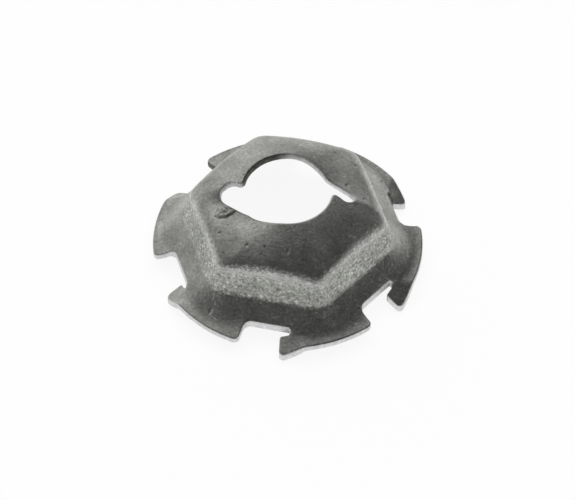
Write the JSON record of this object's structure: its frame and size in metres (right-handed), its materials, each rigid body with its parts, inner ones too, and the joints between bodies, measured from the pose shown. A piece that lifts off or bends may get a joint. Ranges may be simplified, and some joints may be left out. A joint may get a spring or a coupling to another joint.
{
  "type": "stamped grille nut",
  "caption": "Pressed sheet-steel hexagon nut with a helical lip round its stud hole and a flange of teeth with bent locking hooks, for fixing grilles and trim on a plain or threaded stud.",
  "frame": {"origin": "on the stud hole's axis, in the plane of the hook tips that the nut bears on", "axes": "+Z along the stud hole, from the toothed flange towards the crown; +X through a corner of the hexagon"},
  "size_m": [0.0172, 0.017, 0.0068],
  "materials": {
    "coated_steel": "dull dark olive-grey phosphate coating, finely speckled, with paler bare cut edges"
  },
  "bodies": {
    "root": {"stamped_nut": "coated_steel"}
  },
  "joints": []
}
